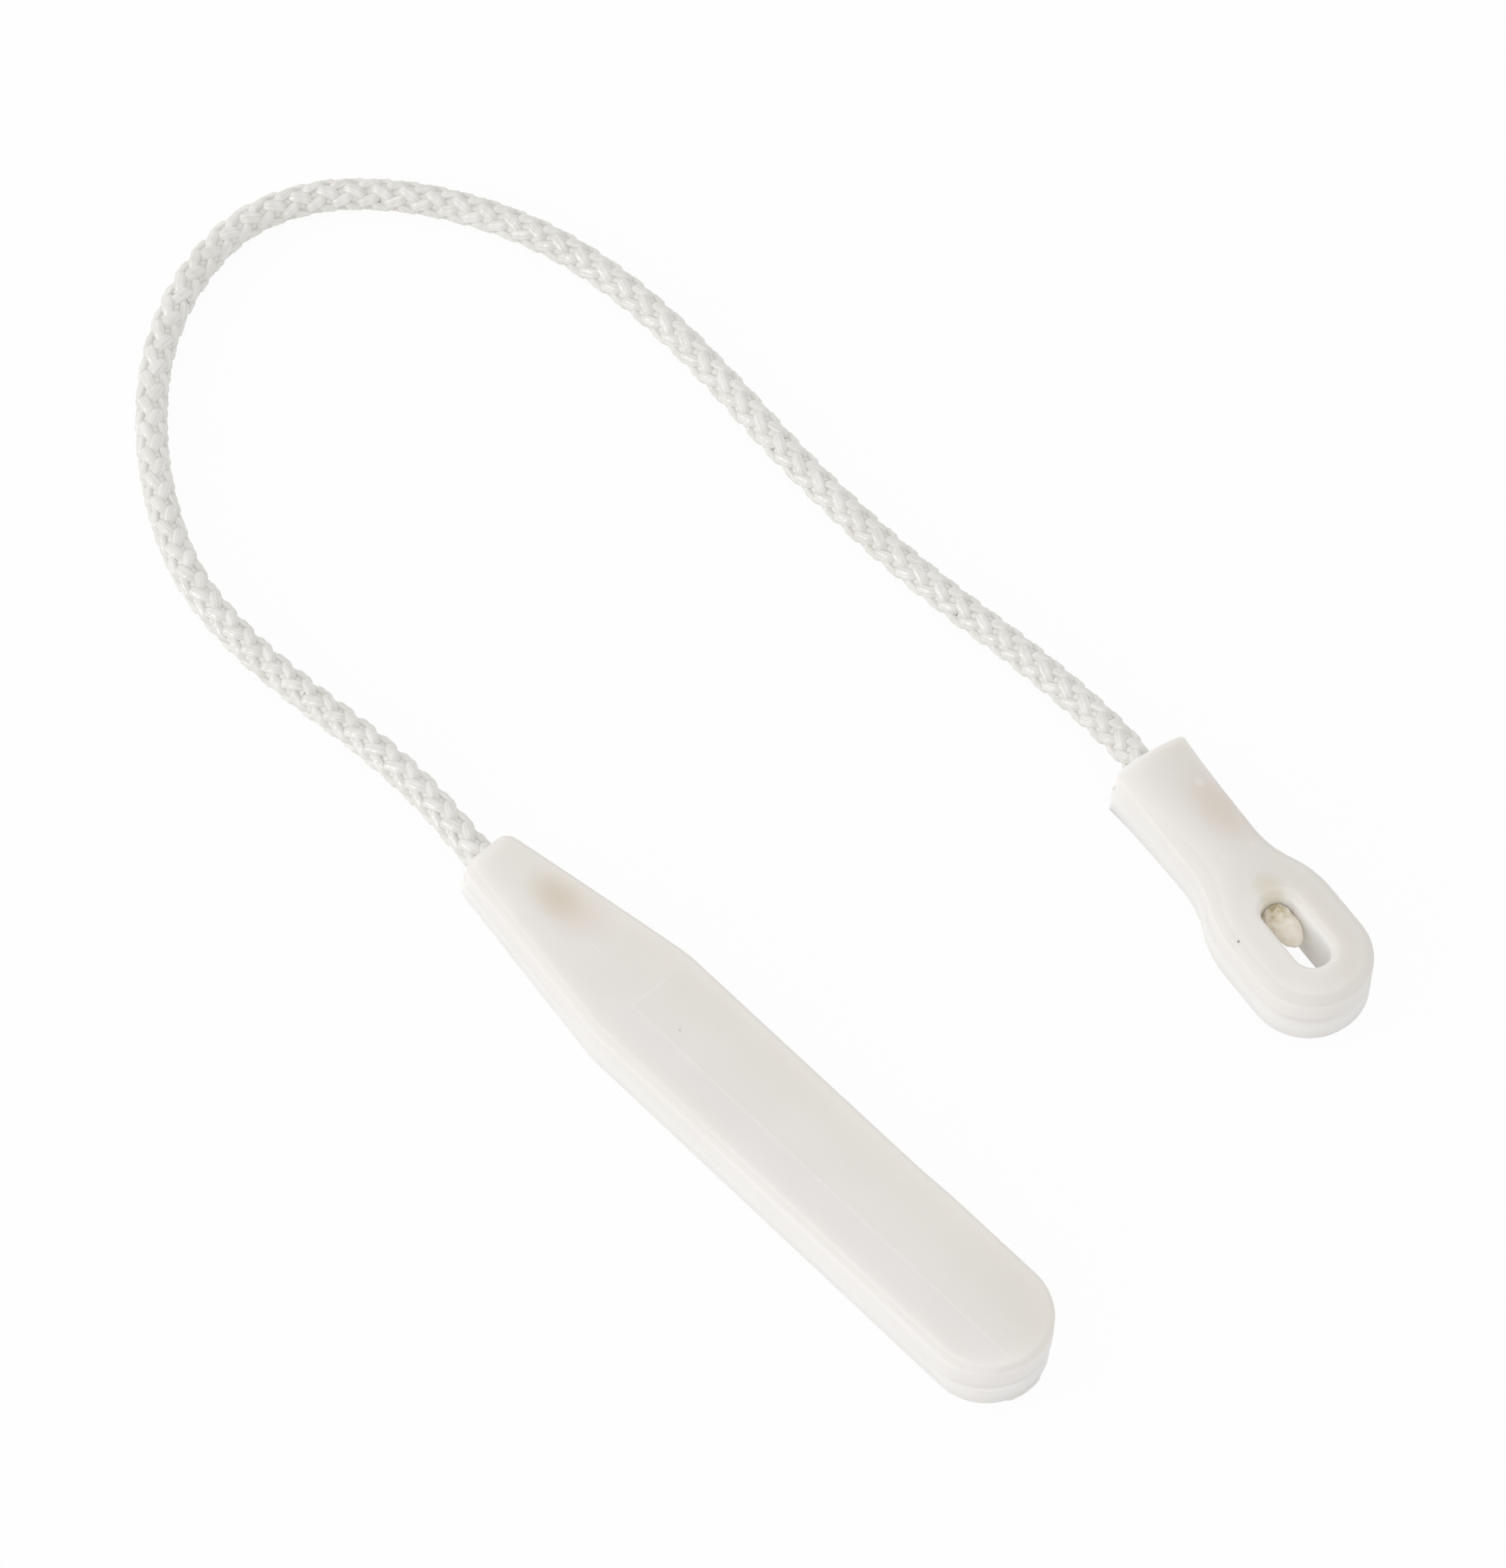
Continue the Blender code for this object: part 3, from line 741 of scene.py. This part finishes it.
# Eye lug
eyeSet = {
    "mouth": Vector((-2.75, 36.33, 0.0)) * mm,
    "turn": math.radians(-9.1),
    "thickness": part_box("eye")[1].z / mm,
    "low": 4.4,  # heights between which the two mould halves meet
    "high": 4.8,
    "upper": {"mouth": 0.5, "shank": 5.1, "head": 7.75, "swell": (19.2, 25.0), "tip": 42.15, "aside": 0.25},
    "lower": {"mouth": -0.1, "shank": 4.95, "head": 7.75, "swell": (18.8, 24.6), "tip": 42.4, "aside": 0.05},
    "mouthFlare": 0.1,  # by which the shank is wider at its mouth
    "neck": 0.05,  # and narrower where the head starts to swell
    "mouthRound": (0.6, 6),  # radius and segments of a rounded corner
    "swellRound": (3.0, 10),
    "endRound": (7.6, 18),
    "slotRound": (2.45, 12),
    "halfSlot": 2.5,
    "slotFrom": 25.5,
    "slotTo": 37.0,
    "slotReach": 1.0,  # round the slot, within which an edge belongs to it
    "topEdge": 1.8,
    "bottomEdge": 1.5,
    "edgeSegments": 9,
    "edgeFrom": 1.3,  # along the shank, past which its edges are rounded
    "slotEdge": 0.9,
    "slotSegments": 7,
    "sharp": 70.0,
    "headFrom": 34.5,  # middle of the head's round end
    "shankCrown": 0.9,  # drop of the top's sides
    "headCrown": 0.4,
    "crownPower": 2.5,
    "headLines": (28.0, 31.0, 34.0, 38.0),
    "crownLines": (-4.2, -3.6, -3.0, -2.2, -1.4, -0.6, 0.2, 1.0, 1.8, 2.6, 3.4, 4.2, 4.8),
    "crownRings": (1.5, 5.0, 9.0, 13.0, 16.0, 19.0, 22.0, 25.0),
    "topShadeBand": (7.0, 9.0),  # heights over which the painted shade on the top comes in
    "sideBand": (-4.5, 3.5),  # across the top: painted shade, darker on the side away from the light
    "sideShadeShare": (0.2, 0.75),
    "sideShadeTone": "E4E0DA",
    "slotLightAlong": (25.2, 37.4, 0.4),  # from, to and softness of the painted light in the slot
    "slotLightAcross": (-2.6, 3.0, 0.4),
    "slotLightBelow": (9.2, 8.0),
    "slotLightTone": "FEFDFB",
    "clouds": (((11.5, 2.6, 8.5), (8.5, 4.4, 9.0), 0.6, "DDD1C4"),),  # the cord showing through
    "marks": (  # small bubbles, a speck and the burnt end showing through at the slot
        ((7.5, 2.8, 8.8), (0.9, 0.8, 3.0), 0.5, "EFEBE6"),
        ((18.5, 2.95, 8.8), (0.8, 0.7, 3.0), 0.5, "ECE8E2"),
        ((18.0, -1.2, 9.0), (0.6, 0.6, 3.0), 0.4, "F0EDE8"),
        ((28.6, -6.6, 8.0), (0.24, 0.24, 3.0), 0.8, "8E8A82"),
        ((24.6, 0.9, 7.5), (3.2, 2.6, 4.0), 0.4, "D8D0B8"),
    ),
}


def eyeFrame():  # from mm at the eye's mouth to the scene
    return Matrix.LocRotScale(eyeSet["mouth"], Euler((0.0, 0.0, eyeSet["turn"])), (mm, mm, mm))


def eyeMaterial():
    mouth, turn = eyeSet["mouth"], eyeSet["turn"]
    material, tree, shader, place, parts, shade = milkyPlastic("eyePlastic", mouth, turn)
    # painted shade: the top darker on its side away from the light
    top = ramp(tree, parts["Z"], *eyeSet["topShadeBand"])
    side = ramp(tree, parts["Y"], *eyeSet["sideBand"], *eyeSet["sideShadeShare"])
    shade = blendColour(tree, sums(tree, "MULTIPLY", side, top), shade, tone(eyeSet["sideShadeTone"]))
    shade = addMarks(tree, place, shade, eyeSet["clouds"], plasticSet["cloudSoft"])
    # painted light: the slot's walls near white, as if lit from within
    slot = band(tree, parts["X"], *eyeSet["slotLightAlong"])
    slot = sums(tree, "MULTIPLY", slot, band(tree, parts["Y"], *eyeSet["slotLightAcross"]))
    slot = sums(tree, "MULTIPLY", slot, ramp(tree, parts["Z"], *eyeSet["slotLightBelow"]))
    shade = blendColour(tree, slot, shade, tone(eyeSet["slotLightTone"]))
    shade = addMarks(tree, place, shade, eyeSet["marks"], plasticSet["markSoft"])
    tree.links.new(shade, shader.inputs["Base Color"])
    return material


def eyeOutline(bm, level, side):  # one side of the outline, mirrored
    slot, shank = eyeSet["halfSlot"], side["shank"]
    swellFrom, swellTo = side["swell"]
    plain = (0.0, 1)  # a corner without rounding
    corners = [
        (side["mouth"], 0.0, *plain),
        (side["mouth"], shank + eyeSet["mouthFlare"], *eyeSet["mouthRound"]),
        (swellFrom, shank - eyeSet["neck"], *eyeSet["swellRound"]),
        (swellTo, side["head"], *eyeSet["swellRound"]),
        (side["tip"], side["head"], *eyeSet["endRound"]),
        (side["tip"], 0.0, *plain),
        (eyeSet["slotTo"], 0.0, *plain),
        (eyeSet["slotTo"], slot, *eyeSet["slotRound"]),
        (eyeSet["slotFrom"], slot, *eyeSet["slotRound"]),
        (eyeSet["slotFrom"], 0.0, *plain),
    ]
    outlineFace(bm, level, corners)
    bmesh.ops.mirror(bm, geom=flatParts(bm, level), matrix=Matrix.Identity(4), merge_dist=tiny, axis="Y")
    verts = [vert for vert in bm.verts if near(vert.co.z, level)]
    bmesh.ops.translate(bm, vec=(0.0, side["aside"], 0.0), verts=verts)


def inSlot(edge):  # whether an edge is on the slot's wall or its rim
    middle = (edge.verts[0].co + edge.verts[1].co) / 2
    reach = eyeSet["slotReach"]
    along = eyeSet["slotFrom"] - reach < middle.x < eyeSet["slotTo"] + reach
    return along and abs(middle.y) < eyeSet["halfSlot"] + reach


def makeEye():
    bm = bmesh.new()
    top = eyeSet["thickness"]
    eyeOutline(bm, eyeSet["high"], eyeSet["upper"])
    eyeOutline(bm, 0.0, eyeSet["lower"])
    meeting = openHalves(bm, eyeSet["low"], eyeSet["high"], top)
    for slot in (True, False):
        bmesh.ops.bridge_loops(bm, edges=[edge for edge in meeting if inSlot(edge) is slot])
    bmesh.ops.recalc_face_normals(bm, faces=bm.faces)
    for level, radius in ((top, eyeSet["topEdge"]), (0.0, eyeSet["bottomEdge"])):
        rim = [edge for edge in rimEdges(bm, level) if not inSlot(edge)]
        rim = [edge for edge in rim if max(vert.co.x for vert in edge.verts) > eyeSet["edgeFrom"]]
        roundEdges(bm, rim, radius, eyeSet["edgeSegments"])
        slotRim = [edge for edge in rimEdges(bm, level) if inSlot(edge)]
        roundEdges(bm, slotRim, eyeSet["slotEdge"], eyeSet["slotSegments"])
    crownEye(bm, top)
    bmesh.ops.transform(bm, matrix=eyeFrame(), verts=bm.verts)
    eye = newPiece("eye_moulding", bm, eyeMaterial(), eyeSet["sharp"])
    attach(eye, "eye")
    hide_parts("eye")
    print("eye moulded")


def crownEye(bm, top):  # the top is a little domed, most of all on the shank
    low, upper = eyeSet["high"], eyeSet["upper"]
    swellFrom, swellTo = upper["swell"]
    cutFlat(bm, top, eyeSet["headLines"], eyeSet["crownLines"])
    cutAcross(bm, eyeSet["crownRings"])
    for vert in bm.verts:
        if vert.co.z > low:
            head = min(max((vert.co.x - swellFrom) / (swellTo - swellFrom), 0.0), 1.0)
            half = upper["shank"] + (upper["head"] - upper["shank"]) * head
            past = max(vert.co.x - eyeSet["headFrom"], 0.0)
            aside = min(1.0, math.hypot(past, vert.co.y - upper["aside"]) / half)
            drop = eyeSet["shankCrown"] + (eyeSet["headCrown"] - eyeSet["shankCrown"]) * head
            vert.co.z -= drop * aside ** eyeSet["crownPower"] * (vert.co.z - low) / (top - low)


makeEye()


# Sealed tail that stands in the slot, and the sealed bead inside the bar
tailSet = {
    "from": 24.6,
    "length": 6.9,
    "aside": 0.9,
    "height": 5.2,
    "halfWide": 1.85,
    "halfThick": 1.9,
    "lumps": 0.35,
    "lumpSize": 0.9,
    "burntTo": 0.6,  # from the tail's middle; past it the lumps are flatter
    "flatter": 0.4,
    "sharp": 60.0,
    "grain": (0.9, 4.0),  # scale and detail
    "toneBand": (0.35, 0.65),
    "tones": ("EAE3D8", "F0EBE2"),
    "burnt": ((26.9, 0.9, 5.5), (2.6, 2.1, 3.0), 1.0, 0.7),  # centre, radii, strength and softness
    "burntTone": "C4B588",
    "spots": (1.3, 3.0),
    "spotBand": (0.35, 0.6),
    "spotShare": (1.0, 0.35),
    "roughBand": (0.3, 0.7),
    "rough": (0.35, 0.6),
    "bump": 0.5,
    "bumpDepth": 0.2 * mm,
    "scatter": (1.0, 0.95, 0.85),
    "scatterDepth": 2.0 * mm,
}


def sealedMaterial():
    material, tree, shader = startMaterial("sealedCord")
    place = placeFrom(tree, eyeSet["mouth"], eyeSet["turn"])
    lumps = grain(tree, place, *tailSet["grain"])
    tones = [tone(code) for code in tailSet["tones"]]
    shade = blendColour(tree, ramp(tree, lumps, *tailSet["toneBand"]), *tones)
    burnt = cloud(tree, place, *tailSet["burnt"])
    spots = ramp(tree, grain(tree, place, *tailSet["spots"]), *tailSet["spotBand"], *tailSet["spotShare"])
    shade = blendColour(tree, sums(tree, "MULTIPLY", burnt, spots), shade, tone(tailSet["burntTone"]))
    tree.links.new(shade, shader.inputs["Base Color"])
    rough = ramp(tree, lumps, *tailSet["roughBand"], *tailSet["rough"])
    tree.links.new(rough, shader.inputs["Roughness"])
    addSurface(tree, shader, lumps, tailSet)
    return material


def makeTail():
    bm = bmesh.new()
    bmesh.ops.create_icosphere(bm, subdivisions=5, radius=1.0)
    half = tailSet["length"] / 2
    bmesh.ops.scale(bm, vec=(half, tailSet["halfWide"], tailSet["halfThick"]), verts=bm.verts)
    for vert in bm.verts:
        rough = 1.0 if vert.co.x < tailSet["burntTo"] else tailSet["flatter"]
        push = noise.noise(vert.co / tailSet["lumpSize"]) * tailSet["lumps"] * rough
        vert.co += vert.co.normalized() * push
    middle = (tailSet["from"] + half, tailSet["aside"], tailSet["height"])
    bmesh.ops.translate(bm, vec=middle, verts=bm.verts)
    bmesh.ops.transform(bm, matrix=eyeFrame(), verts=bm.verts)
    material = sealedMaterial()
    tail = newPiece("sealed_tail_end", bm, material, tailSet["sharp"])
    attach(tail, "eye")
    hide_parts("sealed_tail")
    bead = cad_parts["sealed_bead"]
    bead.data.materials.clear()
    bead.data.materials.append(material)
    print("sealed ends made")


makeTail()


# Floor, backdrop and light
stageSet = {
    "floorSize": 6.0,
    "floorTone": "FAFAFA",
    "floorRough": 0.9,
    "floorWhite": 0.93,  # share of plain white that the camera sees in the floor
    "sky": 0.82,
    "glow": 0.3,  # added to the sky towards the horizon that the key stands at
    "keyStrength": 1.5,
    "keySize": 0.15,
    "keyDistance": 1.1,
    "keyFrom": Vector((-0.5, -0.87, 0.36)),
    "white": (1.0, 1.0, 1.0, 1.0),
    "allBounces": 20,
    "softBounces": 16,  # so that light reaches into the slot
}


def seenRays(tree, share):
    rays = addNode(tree, "ShaderNodeLightPath").outputs
    seen = sums(tree, "MAXIMUM", rays["Is Camera Ray"], rays["Is Glossy Ray"])
    seen = sums(tree, "MAXIMUM", seen, rays["Is Transmission Ray"])
    return sums(tree, "MULTIPLY", seen, share)


def makeFloor():
    bm = bmesh.new()
    bmesh.ops.create_grid(bm, x_segments=1, y_segments=1, size=stageSet["floorSize"] / 2)
    material, tree, shader = startMaterial("whiteFloor")
    shader.inputs["Base Color"].default_value = tone(stageSet["floorTone"])
    shader.inputs["Roughness"].default_value = stageSet["floorRough"]
    shader.inputs["Specular IOR Level"].default_value = 0.0
    white = addNode(tree, "ShaderNodeEmission", {"Strength": 1.0})
    share = seenRays(tree, stageSet["floorWhite"])
    mix = addNode(tree, "ShaderNodeMixShader", {0: share, 1: shader.outputs[0], 2: white.outputs[0]})
    tree.links.new(mix.outputs[0], tree.nodes["Material Output"].inputs["Surface"])
    floor = newPiece("floor", bm, material)


def makeLight():
    world = bpy.data.worlds.new("softSky")
    scene.world = world
    world.use_nodes = True
    tree = world.node_tree
    tree.nodes.clear()
    keyWay = stageSet["keyFrom"].normalized()
    level = Vector((keyWay.x, keyWay.y, 0.0)).normalized()
    way = addNode(tree, "ShaderNodeTexCoord").outputs["Generated"]
    facing = addNode(tree, "ShaderNodeVectorMath", {0: way, 1: level}, operation="DOT_PRODUCT")
    brighter = stageSet["sky"] + stageSet["glow"]
    strength = ramp(tree, facing.outputs["Value"], 0.0, 1.0, stageSet["sky"], brighter)
    sky = addNode(tree, "ShaderNodeBackground", {"Color": stageSet["white"], "Strength": strength})
    white = addNode(tree, "ShaderNodeBackground", {"Color": stageSet["white"], "Strength": 1.0})
    share = seenRays(tree, 1.0)
    mix = addNode(tree, "ShaderNodeMixShader", {0: share, 1: sky.outputs[0], 2: white.outputs[0]})
    out = addNode(tree, "ShaderNodeOutputWorld")
    tree.links.new(mix.outputs[0], out.inputs["Surface"])
    lamp = bpy.data.lights.new("softKey", "AREA")
    lamp.shape = "DISK"
    lamp.size = stageSet["keySize"]
    lamp.energy = stageSet["keyStrength"]
    key = bpy.data.objects.new("softKey", lamp)
    key.location = cameraSet["target"] + keyWay * stageSet["keyDistance"]
    key.rotation_mode = "QUATERNION"
    key.rotation_quaternion = keyWay.to_track_quat("Z", "Y")
    scene.collection.objects.link(key)
    scene.cycles.max_bounces = stageSet["allBounces"]
    scene.cycles.diffuse_bounces = stageSet["softBounces"]


makeFloor()
makeLight()
print("floor and light set")
